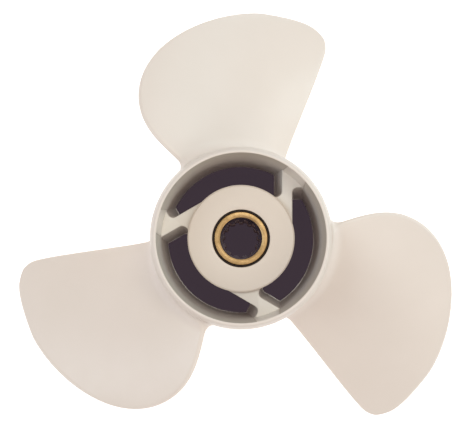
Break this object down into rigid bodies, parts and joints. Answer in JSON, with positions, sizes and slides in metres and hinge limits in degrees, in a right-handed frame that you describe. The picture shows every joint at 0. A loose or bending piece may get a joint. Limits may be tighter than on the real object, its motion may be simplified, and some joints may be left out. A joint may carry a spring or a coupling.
{
  "type": "outboard motor propeller",
  "caption": "Right-handed outboard propeller: blades on an exhaust barrel, with a ribbed inner hub, rubber bush and splined brass sleeve.",
  "frame": {"origin": "on the shaft axis at the balance point of the solids, 50.0 mm above the rear face", "axes": "+Z along the shaft axis towards the front rim, the end that faces the motor; +Y runs close to the middle of blade_1"},
  "size_m": [0.2379, 0.2247, 0.097],
  "materials": {
    "casting_paint": "satin off-white paint over cast aluminium",
    "bush_rubber": "matt black rubber",
    "sleeve_brass": "turned brass"
  },
  "bodies": {
    "root": {"outer_barrel": "casting_paint", "rear_flare_ring": "casting_paint", "inner_hub": "casting_paint", "exhaust_rib_1": "casting_paint", "exhaust_rib_2": "casting_paint", "exhaust_rib_3": "casting_paint", "blade_1": "casting_paint", "blade_2": "casting_paint", "blade_3": "casting_paint", "rubber_bush": "bush_rubber", "splined_sleeve": "sleeve_brass"}
  },
  "joints": []
}
